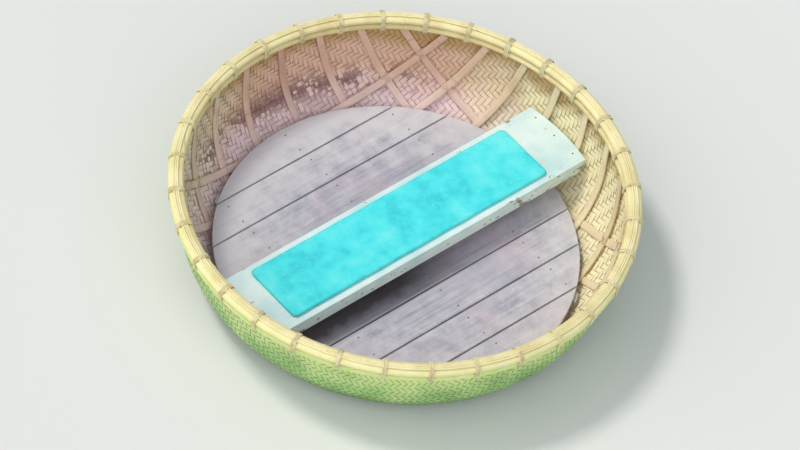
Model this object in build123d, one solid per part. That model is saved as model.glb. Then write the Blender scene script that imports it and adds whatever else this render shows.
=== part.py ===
from build123d import *
from math import atan, cos, degrees, pi, radians, sin, tan
import os

# Round basket boat, in millimetres. +Z is up, Z = 0 is the water's surface, and the
# origin is on it in the middle of the boat. The thwart runs along X.

# Hull
rim_diameter = 2100        # over the outer laths
hull_depth = 580           # from the flat bottom to the mat's top edge
draft = 125
bottom_diameter = 500      # of the flat in the middle of the bottom
deadrise = 6               # degrees by which the bottom rises round that flat
wall_flare = 8             # degrees by which the wall leans out
bilge_radius = 400
bilge_bends = 5            # cone bands in which the mat takes that round
mat_thick = 9
seat_gap = 0.3             # left between pieces that are bent over each other

# Rim: two courses of split laths outside the mat and two inside, a cap and lashings
lath_height = 33
lath_thick = 29
lath_edge = 12             # thickness that a lath keeps at its two edges
lath_bevel = 10            # height of the slope from edge to crown
course_gap = 1
scarf_length = 120         # over which a lath's two ends taper past each other
scarf_gap = 0.6
cap_width = 30
cap_top_width = 18
cap_thick = 8
lashing_width = 22
lashing_thick = 4

# Ribs: two sets cross at right angles, the second laid over the first
ribs_per_set = 8
rib_width = 34
rib_thick = 10

# Floor
floor_height = 180         # of the boards' top over the flat bottom
board_thick = 20
board_gap = 8
boards = 9
floor_clear = 20           # between the boards and the ribs beside them
bearer_width = 45
bearers = 3
bearer_pitch = 480

# Thwart
seat_drop = 230            # of the pad's top below the mat's top edge
thwart_width = 380
plank_thick = 28
pad_thick = 16
pad_margin = 30
pad_end_margin = 220
pad_corner = 25
apron_height = 46
apron_thick = 20
ledger_height = 40
ledger_depth = 75

# The hull's line: a flat, a rising bottom, a bilge round tangent to it and a leaning wall
keel = -draft
rise = radians(deadrise)
flare = radians(wall_flare)
lath_reach = lath_thick + seat_gap
mat_top_z = keel + hull_depth
mat_top_radius = rim_diameter / 2 - lath_reach * cos(flare) + lath_bevel * sin(flare)
run = mat_top_radius - bottom_diameter / 2 + bilge_radius * (sin(rise) - cos(flare))
climb = hull_depth - bilge_radius * (cos(rise) - sin(flare))
bottom_length = (run * cos(flare) - climb * sin(flare)) / cos(rise + flare)
wall_length = (climb * cos(rise) - run * sin(rise)) / cos(rise + flare)
bilge_start = Vector(bottom_diameter / 2, 0, keel)
bilge_start += Vector(bottom_length * cos(rise), 0, bottom_length * sin(rise))
bilge_centre = bilge_start + Vector(-bilge_radius * sin(rise), 0, bilge_radius * cos(rise))
rim_out = Vector(cos(flare), 0, -sin(flare))
rim_up = Vector(sin(flare), 0, cos(flare))
mat_top = Vector(mat_top_radius, 0, mat_top_z)


def at_rim(out, up):
    # a place beside the mat's top outer edge, measured square to the wall and along it
    return mat_top + rim_out * out + rim_up * up


def on_bilge(inset, angle):
    radius = bilge_radius - inset
    return bilge_centre + Vector(radius * sin(angle), 0, -radius * cos(angle))


def hull_line(inset, below=0):
    # corners of the hull's line moved inwards by inset, up to a place below the mat's top
    flat = bottom_diameter / 2 - inset * tan(rise / 2)
    line = [Vector(0, 0, keel + inset), Vector(flat, 0, keel + inset)]
    for step in range(bilge_bends + 1):
        angle = rise + (pi / 2 - flare - rise) * step / bilge_bends
        line.append(on_bilge(inset, angle))
    return line + [at_rim(-inset, -below)]


def turned_solid(corners):
    return revolve(Face(Wire.make_polygon(corners, close=True)), Axis.Z, 360)


def bowl_layer(inset, thick, below=0):
    # a bowl-shaped layer that lies inset inside the hull's outer side
    return turned_solid(hull_line(inset, below) + hull_line(inset + thick, below)[::-1])


def bowl_space(inset):
    # everything inside the hull's line moved inwards by inset
    line = hull_line(inset)
    return turned_solid(line + [Vector(0, 0, line[-1].Z)])


def radius_at(height, inset):
    # the bowl's radius at a height where its line is the bilge round
    drop = bilge_centre.Z - height
    return bilge_centre.X + ((bilge_radius - inset) ** 2 - drop**2) ** 0.5


parts = {}

# Mat
parts["hull_mat"] = bowl_layer(0, mat_thick)

# Rim laths: split culms with the crown turned away from the mat. Each is bent into a ring
# and closed by a scarf, which stands over a rib's end in a quarter of its own
rib_pitch = 90 / ribs_per_set
scarf_place = rib_pitch * (ribs_per_set - 1) / 2
scarf_slant = degrees(atan(lath_thick / scarf_length))
outside = seat_gap
inside = -mat_thick - seat_gap
lower_top = -lath_height - course_gap
# name, flat side's place, top edge's place, side of the mat, quarter turns to its scarf
lath_table = [
    ("rim_lath_outer_upper", outside, 0, 1, 0),
    ("rim_lath_outer_lower", outside, lower_top, 1, 2),
    ("rim_lath_inner_upper", inside, 0, -1, 1),
    ("rim_lath_inner_lower", inside, lower_top, -1, 3),
]
for name, back, top, side, quarters in lath_table:
    edge = back + side * lath_edge
    crown = back + side * lath_thick
    low = top - lath_height
    section = [at_rim(back, low), at_rim(back, top), at_rim(edge, top)]
    section += [at_rim(crown, top - lath_bevel), at_rim(crown, low + lath_bevel)]
    section += [at_rim(edge, low)]
    scarf = Box(scarf_gap, 3 * scarf_length, 2 * lath_height).rotate(Axis.Z, scarf_slant)
    scarf = scarf.rotate(Axis.Y, wall_flare)
    scarf = scarf.move(Location(at_rim((back + crown) / 2, (top + low) / 2)))
    parts[name] = turned_solid(section) - scarf.rotate(Axis.Z, scarf_place + 90 * quarters)

# Cap over the mat's edge
middle = -mat_thick / 2
cap_top = seat_gap + cap_thick
cap_section = [at_rim(middle + cap_width / 2, seat_gap)]
cap_section += [at_rim(middle + cap_top_width / 2, cap_top)]
cap_section += [at_rim(middle - cap_top_width / 2, cap_top)]
cap_section += [at_rim(middle - cap_width / 2, seat_gap)]
parts["rim_cap"] = turned_solid(cap_section)

# Ribs: bent strips cut out of a layer that lies on the mat, each in its own leaning plane.
# Their ends stand evenly round the rim, just under the inner laths
rim_bottom = 2 * lath_height + course_gap
rib_below = rim_bottom + seat_gap
first_inset = mat_thick + seat_gap
second_inset = first_inset + rib_thick + seat_gap
ribs_top = second_inset + rib_thick
flat_length = bottom_diameter / 2 + bottom_length
rib_length = flat_length + bilge_radius * (pi / 2 - flare - rise) + wall_length - rib_below
# name, inset of its layer, turn of the set about the middle
for name, inset, set_turn in [("rib_under", first_inset, 0), ("rib_over", second_inset, 90)]:
    layer = bowl_layer(inset, rib_thick, rib_below)
    end = at_rim(-inset, -rib_below)
    for number in range(ribs_per_set):
        lean = sin(radians(rib_pitch * (number - (ribs_per_set - 1) / 2)))
        # how far out the strip crosses the flat mat's middle line, and that place bent up
        along = abs(rib_length * lean)
        if along < bottom_diameter / 2:
            place = Vector(along, 0, keel + inset)
        elif along < flat_length:
            risen = along - bottom_diameter / 2
            place = Vector(along, 0, keel + inset + risen * sin(rise))
        else:
            place = on_bilge(inset, rise + (along - flat_length) / bilge_radius)
        low = Vector(place.X * (1 if lean > 0 else -1), 0, place.Z)
        high = Vector(end.X * lean, 0, end.Z)
        plane = Plane(low, x_dir=(0, 1, 0), z_dir=(high - low).cross(Vector(0, 1, 0)))
        slab = plane * Box(2 * rim_diameter, 2 * rim_diameter, rib_width)
        parts[f"{name}_{number + 1}"] = (layer & slab).rotate(Axis.Z, set_turn)

# Lashings, midway between the ribs' ends: each is wound round the laths and the cap, and
# meets the mat from both sides where its strands go through the weave
strand_drop = lath_bevel * lath_edge / (lath_thick - lath_edge)
wound = []
for back, side in [(outside, 1), (inside, -1)]:
    crown = back + side * lath_thick
    half = [at_rim(back, -rim_bottom - strand_drop), at_rim(crown, lath_bevel - rim_bottom)]
    half += [at_rim(crown, -lath_bevel), at_rim(middle + side * cap_top_width / 2, cap_top)]
    wound += half[::side]
core = Face(Wire.make_polygon(wound, close=True))
inner_turn = offset(core, seat_gap, kind=Kind.INTERSECTION)
outer_turn = offset(core, seat_gap + lashing_thick, kind=Kind.INTERSECTION)
loop = extrude(outer_turn, lashing_width / 2, both=True)
loop -= extrude(inner_turn, lashing_width, both=True)
through = [at_rim(outside, 0), at_rim(inside, 0)]
through += [at_rim(inside, -2 * rim_bottom), at_rim(outside, -2 * rim_bottom)]
loop -= extrude(Face(Wire.make_polygon(through, close=True)), lashing_width, both=True)
lashings = []
for number in range(4 * ribs_per_set):
    lashings.append(loop.rotate(Axis.Z, rib_pitch * (number + ribs_per_set / 2)))
parts["rim_lashings"] = Compound(children=lashings)

# Floor: boards along X, cut to a disc, on bearers that are cut to the ribs under them
inside_ribs = bowl_space(ribs_top + seat_gap)
board_low = keel + floor_height - board_thick
floor_radius = radius_at(board_low, ribs_top) - floor_clear
board_width = (2 * floor_radius - board_gap * (boards - 1)) / boards
disc = Pos(0, 0, board_low + board_thick / 2) * Cylinder(floor_radius, board_thick)
for number in range(boards):
    side = (board_width + board_gap) * (number - (boards - 1) / 2)
    strip = Pos(0, side, board_low) * Box(2 * floor_radius, board_width, 3 * board_thick)
    parts[f"floor_board_{number + 1}"] = disc & strip

bearer_height = board_low - keel
for number in range(bearers):
    along = bearer_pitch * (number - (bearers - 1) / 2)
    bearer = Box(bearer_width, rim_diameter, bearer_height)
    bearer = Pos(along, 0, board_low - bearer_height / 2) * bearer
    parts[f"floor_bearer_{number + 1}"] = bearer & inside_ribs

# Thwart: a plank with an apron under each edge, on a ledger at each end
plank_top = mat_top_z - seat_drop - pad_thick
plank_low = plank_top - plank_thick
plank = Box(rim_diameter, thwart_width, plank_thick)
parts["thwart_plank"] = (Pos(0, 0, plank_top - plank_thick / 2) * plank) & inside_ribs

apron_side = (thwart_width - apron_thick) / 2
apron_middle = plank_low - apron_height / 2
for name, side in [("thwart_apron_front", -apron_side), ("thwart_apron_back", apron_side)]:
    apron = Box(rim_diameter, apron_thick, apron_height)
    parts[name] = (Pos(0, side, apron_middle) * apron) & inside_ribs

ledger_length = thwart_width - 2 * apron_thick - 2 * seat_gap
ledger_out = radius_at(plank_low, ribs_top)
ledger_middle = plank_low - ledger_height / 2
for name, side in [("thwart_ledger_left", -1), ("thwart_ledger_right", 1)]:
    ledger = Box(2 * ledger_depth, ledger_length, ledger_height)
    ledger = Pos(side * ledger_out, 0, ledger_middle) * ledger
    parts[name] = ledger & inside_ribs

pad_length = 2 * (radius_at(plank_top, ribs_top) - pad_end_margin)
pad = Box(pad_length, thwart_width - 2 * pad_margin, pad_thick)
pad = fillet(pad.edges().filter_by(Axis.Z), pad_corner)
parts["thwart_pad"] = Pos(0, 0, plank_top + pad_thick / 2) * pad

os.makedirs("parts", exist_ok=True)
for name, solid in parts.items():
    export_step(solid, f"parts/{name}.step")
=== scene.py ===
import random
from functools import partial
from math import copysign, cos, exp, hypot, pi, radians, sin, sqrt

import bmesh
import bpy
from mathutils import Matrix, Vector


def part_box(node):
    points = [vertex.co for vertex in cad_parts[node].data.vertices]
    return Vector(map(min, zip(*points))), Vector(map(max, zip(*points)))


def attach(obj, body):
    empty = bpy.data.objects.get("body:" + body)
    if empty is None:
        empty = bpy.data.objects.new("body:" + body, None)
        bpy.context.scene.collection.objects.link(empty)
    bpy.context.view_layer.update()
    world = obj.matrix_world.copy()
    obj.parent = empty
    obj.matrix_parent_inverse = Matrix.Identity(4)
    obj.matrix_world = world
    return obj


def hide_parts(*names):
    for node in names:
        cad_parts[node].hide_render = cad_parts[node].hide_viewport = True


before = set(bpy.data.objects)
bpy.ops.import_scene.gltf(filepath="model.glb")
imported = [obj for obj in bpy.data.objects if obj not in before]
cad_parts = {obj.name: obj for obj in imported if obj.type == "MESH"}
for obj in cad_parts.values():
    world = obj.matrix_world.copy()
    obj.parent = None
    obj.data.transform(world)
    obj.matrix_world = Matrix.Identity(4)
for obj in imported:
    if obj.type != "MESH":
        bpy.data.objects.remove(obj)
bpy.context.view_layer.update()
scene = bpy.context.scene
random.seed(11)

# The hull's line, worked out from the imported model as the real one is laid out: a flat, a
# rising bottom, a round bilge and a leaning wall. Metres and radians
hull = {
    "bottomRadius": 0.25,
    "deadrise": radians(6),
    "bilgeRadius": 0.4,
    "flare": radians(8),
    "matThick": 0.009,
    "seatGap": 0.0003,  # between pieces that are bent over each other
    "lathHeight": 0.033,
    "lathThick": 0.029,
    "courseGap": 0.001,
}
matLow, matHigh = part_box("hull_mat")
ribsPerSet = sum(name.startswith("rib_under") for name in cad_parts)
ribPitch = pi / 2 / ribsPerSet
deadrise, flare, bilgeRadius = hull["deadrise"], hull["flare"], hull["bilgeRadius"]
keel, topRadius = matLow.z, matHigh.x
topHeight = matHigh.z - hull["matThick"] * sin(flare)
run = topRadius - hull["bottomRadius"] + bilgeRadius * (sin(deadrise) - cos(flare))
climb = topHeight - keel - bilgeRadius * (cos(deadrise) - sin(flare))
bottomLength = (run * cos(flare) - climb * sin(flare)) / cos(deadrise + flare)
wallLength = (climb * cos(deadrise) - run * sin(deadrise)) / cos(deadrise + flare)
flatLength = hull["bottomRadius"] + bottomLength
bilgeLength = bilgeRadius * (pi / 2 - flare - deadrise)
matLength = flatLength + bilgeLength + wallLength


def hullLine(length, inset=0.0):
    # radius, height and slope at a length of mat from the middle, inset from the outer side
    bottom = min(max(length - hull["bottomRadius"], 0), bottomLength)
    bilge = min(max(length - flatLength, 0), bilgeLength)
    wall = max(length - flatLength - bilgeLength, 0)
    slope = (deadrise if bottom > 0 else 0) + bilge / bilgeRadius
    bend = deadrise + bilge / bilgeRadius
    radius = min(length, hull["bottomRadius"]) + bottom * cos(deadrise) + wall * sin(flare)
    radius += bilgeRadius * (sin(bend) - sin(deadrise))
    height = keel + bottom * sin(deadrise) + wall * cos(flare) + bilgeRadius * (cos(deadrise) - cos(bend))
    return radius - inset * sin(slope), height + inset * cos(slope), slope


def turned(radius, height, angle):
    return Vector((radius * cos(angle), radius * sin(angle), height))


def rimPoint(out, up, angle):
    # out is square to the wall and up along it, both from the mat's top outer edge
    radius = topRadius + out * cos(flare) + up * sin(flare)
    return turned(radius, topHeight - out * sin(flare) + up * cos(flare), angle)


def lengthWhere(test, low=0.0, high=matLength):
    # the length of mat at which a rising test turns positive
    for _ in range(40):
        middle = (low + high) / 2
        low, high = (low, middle) if test(middle) > 0 else (middle, high)
    return (low + high) / 2


# Small tools for nodes, meshes and pieces

def linear(hexColour):
    channels = [int(hexColour[at:at + 2], 16) / 255 for at in (1, 3, 5)]
    return [c / 12.92 if c <= 0.04045 else ((c + 0.055) / 1.055) ** 2.4 for c in channels] + [1.0]


def addNode(tree, kind, *values, stops=(), **named):
    # Values fill the inputs in order. A capitalised name is an input and any other one a setting. A
    # kind in capitals is a Math node's operation, and stops are a ramp's places and colours
    if kind.isupper():
        kind, named["operation"] = "Math", kind
    prefixes = (tree.bl_idname.removesuffix("Tree"), "ShaderNode", "FunctionNode", "")
    node = tree.nodes.new(next(prefix + kind for prefix in prefixes if hasattr(bpy.types, prefix + kind)))
    for name in [name for name in named if name[0].islower()]:
        setattr(node, name, named.pop(name))
    for number, (position, colour) in enumerate(stops):
        elements = node.color_ramp.elements
        element = elements[number] if number < 2 else elements.new(1.0)
        element.position, element.color = position, linear(colour)
    sockets = [socket for socket in node.inputs if socket.enabled]
    labels = [name.replace("_", " ") for name in named]
    chosen = sockets[:len(values)] + [next(s for s in sockets if s.name == label) for label in labels]
    for socket, value in zip(chosen, [*values, *named.values()]):
        if isinstance(value, bpy.types.Node):
            value = next(output for output in value.outputs if output.enabled)
        if isinstance(value, bpy.types.NodeSocket):
            tree.links.new(value, socket)
        else:
            socket.default_value = linear(value) if str(value).startswith("#") else value
    return node


def startTree(name, numbers, **others):
    # a tree for a modifier, with an input for each named number and for what else it takes
    tree = bpy.data.node_groups.new(name, "GeometryNodeTree")
    tree.interface.new_socket("Geometry", in_out="OUTPUT", socket_type="NodeSocketGeometry")
    inputs = {"Geometry": "Geometry"} | dict.fromkeys(numbers.split(), "Float") | others
    for label, kind in inputs.items():
        tree.interface.new_socket(label, in_out="INPUT", socket_type="NodeSocket" + kind)
    add = partial(addNode, tree)
    return tree, add, add("NodeGroupInput").outputs


def endTree(add, given, geometry):
    # what a tree makes comes out smooth and with its material
    solid = add("SetMaterial", add("SetShadeSmooth", geometry), Material=given["material"])
    add("NodeGroupOutput", solid)


def writeAttribute(piece, name, values):
    kind, field = ("FLOAT", "value") if isinstance(values[0], float) else ("FLOAT_VECTOR", "vector")
    flat = values if kind == "FLOAT" else [part for value in values for part in value]
    piece.data.attributes.new(name, kind, "POINT").data.foreach_set(field, flat)


def newObject(name, vertices, faces=(), edges=(), smooth=True, **attributes):
    mesh = bpy.data.meshes.new(name)
    mesh.from_pydata(vertices, edges, faces)
    mesh.polygons.foreach_set("use_smooth", [smooth] * len(mesh.polygons))
    mesh.update()
    piece = bpy.data.objects.new(name, mesh)
    scene.collection.objects.link(piece)
    for attribute, values in attributes.items():
        writeAttribute(piece, attribute, values)
    return piece


def gridFaces(rows, columns, rowsMeet=False, columnsMeet=False):
    # quads between points that are given row after row
    faces = []
    for row in range(rows if rowsMeet else rows - 1):
        here, there = row * columns, (row + 1) % rows * columns
        for at in range(columns if columnsMeet else columns - 1):
            beside = (at + 1) % columns
            faces.append((here + at, there + at, there + beside, here + beside))
    return faces


def turnOutwards(piece, merge=0.0, flatten=0.0):
    # points closer than merge become one first, and faces within the angle flatten are joined
    work = bmesh.new()
    work.from_mesh(piece.data)
    if merge:
        bmesh.ops.remove_doubles(work, verts=work.verts, dist=merge)
    if flatten:
        bmesh.ops.dissolve_limit(work, angle_limit=flatten, verts=work.verts, edges=work.edges)
    bmesh.ops.recalc_face_normals(work, faces=work.faces)
    work.to_mesh(piece.data)
    work.free()


def settled(piece):
    # the piece as a plain mesh, with its modifiers worked out
    bpy.context.view_layer.update()
    mesh = bpy.data.meshes.new_from_object(piece.evaluated_get(bpy.context.evaluated_depsgraph_get()))
    name = piece.name
    bpy.data.objects.remove(piece)
    mesh.name = name
    result = bpy.data.objects.new(name, mesh)
    scene.collection.objects.link(result)
    return result


def made(piece, tree, **values):
    # runs the tree on the piece
    modifier = piece.modifiers.new(tree.name, "NODES")
    modifier.node_group = tree
    for item in tree.interface.items_tree:
        if item.item_type == "SOCKET" and item.in_out == "INPUT" and item.name in values:
            modifier[item.identifier] = values[item.name]
    return settled(piece)


def finished(piece, slotName, *nodes, material=None):
    if material:
        piece.data.materials.clear()
        piece.data.materials.append(material)
    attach(piece, "root")
    if nodes:
        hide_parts(*nodes)
    print(piece.name, len(piece.data.polygons), "faces")


def startMaterial(name):
    material = bpy.data.materials.new(name)
    material.use_nodes = True
    material.node_tree.nodes.clear()
    add = partial(addNode, material.node_tree)
    return material, add, add("TexCoord").outputs["Object"]


def surface(material, colour, roughness, relief=None, strength=0.6, deep=0.0006, **more):
    # the shader that a material ends in; deep is how deep its relief looks, in metres
    add = partial(addNode, material.node_tree)
    if relief:
        more["Normal"] = add("Bump", strength, deep, Height=relief)
    add("OutputMaterial", add("BsdfPrincipled", Base_Color=colour, Roughness=roughness, **more))
    return material


def tinted(add, colour, *layers):
    # mixes tints in. A layer is a value, where the tint begins and is full, its most, the tint and
    # what else masks it
    for value, low, high, most, tint, *masks in layers:
        amount = add("MapRange", value, low, high, To_Max=most)
        for mask in masks:
            amount = add("MULTIPLY", amount, mask)
        colour = add("Mix", amount, colour, tint, data_type="RGBA")
    return colour


# Camera and light

view = {
    "azimuth": -47, "elevation": 49.4, "roll": 9.5, "distance": 25.8, "lens": 262, "aim": (0.0, 0.0, 0.195),
}
light = {
    "sky": "#eef3fa", "skyStrength": 0.41, "backdrop": "#e6ebee",
    "floor": "#dfe2e3", "floorSize": 30.0, "floorInset": 0.0055, "floorSteps": 180,
    "lamps": {  # power, softness, azimuth and height in degrees, and colour
        "key": (1.4, 12, 116, 60, "#fff8ec"),
        "fill": (1.1, 80, 238, 32, "#ffffff"),
        "side": (0.75, 60, 158, 36, "#fffaf0"),
    },
}


def placeCamera():
    camera = bpy.data.objects.new("camera", bpy.data.cameras.new("camera"))
    scene.collection.objects.link(camera)
    elevation = radians(view["elevation"])
    back = turned(cos(elevation), sin(elevation), radians(view["azimuth"]) - pi / 2)
    camera.location = Vector(view["aim"]) + back * view["distance"]
    facing = back.to_track_quat("Z", "Y").to_matrix().to_4x4()
    camera.rotation_euler = (facing @ Matrix.Rotation(radians(view["roll"]), 4, "Z")).to_euler()
    camera.data.lens = view["lens"]
    camera.data.clip_end = 200
    scene.camera = camera


def placeFloor():
    # the floor stands at height 0, with a round hole whose edge is inside the mat
    inset, steps = light["floorInset"], light["floorSteps"]
    inner = hullLine(lengthWhere(lambda s: hullLine(s, inset)[1], low=flatLength), inset)[0]
    angles = [2 * pi * number / steps for number in range(steps)]
    points = [turned(radius, 0, angle) for angle in angles for radius in (light["floorSize"], inner)]
    floor = newObject("floor", points, gridFaces(steps, 2, rowsMeet=True), smooth=False)
    material, _, _ = startMaterial("mattFloor")
    floor.data.materials.append(surface(material, light["floor"], 0.9))


def placeLight():
    world = bpy.data.worlds.new("studio")
    scene.world = world
    world.use_nodes = True
    world.node_tree.nodes.clear()
    add = partial(addNode, world.node_tree)
    path = add("LightPath").outputs
    seen = add("MAXIMUM", path["Is Camera Ray"], path["Is Glossy Ray"])
    sky = add("Background", light["sky"], light["skyStrength"])
    add("OutputWorld", add("MixShader", seen, sky, add("Background", light["backdrop"], 1.0)))
    for name, (power, softness, azimuth, height, colour) in light["lamps"].items():
        lamp = bpy.data.objects.new(name, bpy.data.lights.new(name, "SUN"))
        lamp.data.energy = power
        lamp.data.angle = radians(softness)
        lamp.data.color = linear(colour)[:3]
        towards = turned(cos(radians(height)), sin(radians(height)), radians(azimuth))
        lamp.rotation_euler = towards.to_track_quat("Z", "Y").to_euler()
        scene.collection.objects.link(lamp)


placeCamera()
placeFloor()
placeLight()
scene.view_settings.view_transform = "Standard"
print("camera and light placed")

# Materials

def evenly(tones, low, high):
    return [(low + (high - low) * number / (len(tones) - 1), tone) for number, tone in enumerate(tones)]


# Split bamboo: long hard fibres, a tone of its own in each splint, darker rings at its joints.
# The pattern follows grainPlace: metres across, metres along, the splint's number
def bambooColour(add, where, tones, stain, wide=0.0011, long=0.11, own=0.5):
    place = add("Attribute", attribute_name="grainPlace").outputs["Vector"]
    fibres = add("TexNoise", add("Mapping", place, Scale=(1 / wide, 1 / long, 3.7)), 1.0, 4.0, 0.6)
    splint = add("TexWhiteNoise", add("SeparateXYZ", place).outputs["Z"], noise_dimensions="1D")
    tone = add("MULTIPLY_ADD", splint, own, fibres)
    tone = add("MULTIPLY_ADD", add("TexNoise", where, 5.0, 6.0), 0.9, tone)
    colour = add("ValToRGB", add("DIVIDE", tone, 1.9 + own), stops=evenly(tones, 0.3, 0.72))
    ring = add("MULTIPLY", add("Attribute", attribute_name="culmJoint").outputs["Fac"], 0.7)
    return add("Mix", ring, colour, stain, data_type="RGBA"), fibres, place


# Tints of the bamboo inside the boat: pinkish on the far side; lilac and lighter towards the floor, painted
# light on the shaded foot of the wall; pale straw on the left side, painted light on a wall that the key
# leaves in shade; painted sunlight in cream on the sunny side; and grime in its fibres
ageAndLight = {
    "pink": "#efc0ae", "pinkSide": (0.6, 0.8, 0.0),
    "straw": "#fdf6dc", "strawSide": (-0.7, 0.71, 0.0),
    "paintedSunlight": "#fff8cb", "sunnySide": (0.8, -0.6, 0.0),
    "lilac": "#fde4ee", "grime": "#94714a", "grimeWide": 0.0013, "grimeLong": 0.12,
}


def leaning(add, where, broad, side):
    # how far a place lies towards a side of the boat, raggedly
    return add("MULTIPLY_ADD", broad, 0.5, add("VectorMath", where, side, operation="DOT_PRODUCT"))


def ageAndLightColour(add, colour, where, place, height, broad):
    ragged = add("MULTIPLY_ADD", broad, 0.16, height)
    fibres = add("Mapping", place, Scale=(1 / ageAndLight["grimeWide"], 1 / ageAndLight["grimeLong"], 7.7))
    return tinted(
        add, colour,
        # the straw, lilac and cream tints are painted light; the grime is the bamboo's own
        (leaning(add, where, broad, ageAndLight["pinkSide"]), 0.6, 1.1, 0.75, ageAndLight["pink"]),
        (ragged, 0.26, 0.12, 0.84, ageAndLight["lilac"]),
        (leaning(add, where, broad, ageAndLight["strawSide"]), 1.06, 1.2, 0.85, ageAndLight["straw"]),
        (leaning(add, where, broad, ageAndLight["sunnySide"]), 0.5, 0.9, 0.9, ageAndLight["paintedSunlight"]),
        (add("TexNoise", fibres, 1.0, 3.0, 0.6), 0.5, 0.68, 0.36, ageAndLight["grime"])), ragged


# The mat's oiled inner side: tan splints, honey yellow under the rim and darker there in part as painted
# shade of the rim, dirt along their edges, with maroon mould on single splints low down, kept to the shaded
# side where it also stands for painted shade
def matInsideMaterial():
    look = {
        "tones": ["#b0946c", "#cdb388", "#dfc99c", "#ecdcb4"], "stain": "#8f6b52", "honey": "#b99459",
        "bilge": "#dcc6c9", "edge": "#8a6247", "edgeFrom": 0.0088, "edgeTo": 0.0112,
        "mould": "#6d4148", "mouldWide": 0.14, "mouldLong": 0.045, "mouldSide": (0.09, 0.995, 0.0),
    }
    material, add, where = startMaterial("oiledBambooSplint")
    colour, fibres, place = bambooColour(add, where, look["tones"], look["stain"], own=0.7)
    height = add("SeparateXYZ", where).outputs["Z"]
    broad = add("TexNoise", where, 5.0, 4.0)
    colour, ragged = ageAndLightColour(add, colour, where, place, height, broad)
    # mould runs along the splints, each with its own patches
    patches = add("Mapping", place, Scale=(1 / look["mouldWide"], 1 / look["mouldLong"], 5.3))
    crowded = add("MULTIPLY_ADD", broad, 0.5, add("TexNoise", patches, 1.0, 3.0, 0.6))
    worst = add("MapRange", leaning(add, where, broad, look["mouldSide"]), 0.95, 1.15, To_Max=0.13)
    # the mould keeps low and away from the sunny side: mould and painted shade of the wall
    low = add("MapRange", height, 0.22, 0.12)
    shade = add("MapRange", leaning(add, where, broad, ageAndLight["sunnySide"]), 0.6, 0.3)
    foot = add("MapRange", height, 0.06, 0.11, 0.3)
    colour = tinted(
        add, colour,
        # the honey band under the rim is partly painted shade of the rim
        (ragged, 0.36, 0.43, 0.85, look["honey"]),
        (height, 0.03, -0.07, 0.6, look["bilge"]),
        (add("ABSOLUTE", add("SeparateXYZ", place)), look["edgeFrom"], look["edgeTo"], 0.48, look["edge"]),
        (add("ADD", crowded, worst), 0.8, 0.87, 0.8, look["mould"], low, shade, foot))
    return surface(material, colour, 0.6, fibres, deep=0.0004)


# Alkyd paint brushed over the weave: pale green, yellower towards the rim, scuffed low down, darker green
# near the waterline as moist paint and also painted shade with a painted reflection of dark water, and worn
# off the bottom by sand in long scrapes
def hullPaintMaterial():
    look = {"deep": "#8ab469", "green": "#a3ca7b", "streak": "#c6d98f", "yellow": "#dcea9c",
            "scuff": "#5f7c48", "wetAndShade": "#5b8547", "chalky": "#87a877", "bare": "#b3a079"}
    material, add, where = startMaterial("brushedGreenPaint")
    patches = add("TexNoise", where, 6.0, 6.0)
    ragged = add("MULTIPLY_ADD", patches, 0.14, add("SeparateXYZ", where).outputs["Z"])
    tones = [(0.36, look["deep"]), (0.55, look["green"]), (0.72, look["streak"])]
    strokes = add("Mapping", where, Scale=(9.0, 70.0, 20.0), Rotation=(0, 0, 0.6))
    strokes = add("MULTIPLY_ADD", patches, 0.8, add("TexNoise", strokes, 1.0, 5.0, 0.65))
    colour = tinted(
        add, add("ValToRGB", patches, stops=tones),
        (ragged, 0.3, 0.47, 1.0, look["yellow"]),
        (add("TexNoise", where, 42.0, 5.0), 0.46, 0.72, 0.65, look["scuff"],
         add("MapRange", ragged, 0.2, 0.06)),
        # darker green near the waterline: partly moist paint, partly painted shade and a painted reflection
        # of dark water
        (ragged, 0.25, 0.13, 0.85, look["wetAndShade"]),
        (ragged, 0.05, -0.02, 0.6, look["chalky"]),
        (strokes, 0.96, 1.03, 0.85, look["bare"], add("MapRange", ragged, 0.03, -0.04)))
    return surface(material, colour, 0.48, add("TexNoise", where, 170.0, 3.0), 0.3)


# Resin that fills the weave's corners: dark and dull, seen only between splints
def resinMaterial():
    material, add, where = startMaterial("brushedResin")
    patches = add("TexNoise", where, 30.0, 3.0)
    return surface(material, add("ValToRGB", patches, stops=[(0.35, "#7d6052"), (0.65, "#a88674")]), 0.7)


# The splints' narrow sides: green paint that ran in from outside, dark oiled bamboo inside
def splintSideMaterial():
    material, add, _ = startMaterial("splintSide")
    depth = add("Attribute", attribute_name="fromOutside").outputs["Fac"]
    return surface(material, add("ValToRGB", depth, stops=[(0.45, "#5f8247"), (0.6, "#7f5d45")]), 0.65)


# Paint brushed over bamboo laths, thin enough that fibres show, and worn through in places.
# Where it has a reach, the coat covers the lath's top and ends raggedly down its face
def paintedLathMaterial(name, paint, shade, worn=0.62, reach=None):
    under = ["#ab8850", "#cfaa6c", "#e2c388", "#efdcab"]
    material, add, where = startMaterial(name)
    bamboo, fibres, place = bambooColour(add, where, under, "#8b6a3e", wide=0.0016, long=0.16, own=0.3)
    chips = add("TexNoise", add("Mapping", place, Scale=(260, 22, 1)), 1.0, 6.0, 0.65)
    coat = add("ValToRGB", add("TexNoise", where, 9.0, 4.0), stops=[(0.35, shade), (0.62, paint)])
    bare = add("MapRange", chips, worn, worn + 0.05)
    if reach:
        ragged = add("MULTIPLY_ADD", chips, 0.006, add("SeparateXYZ", place))
        bare = add("MAXIMUM", bare, add("MapRange", ragged, reach + 0.003, reach))
    return surface(material, add("Mix", bare, coat, bamboo, data_type="RGBA"), 0.5, fibres, deep=0.0004)


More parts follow.
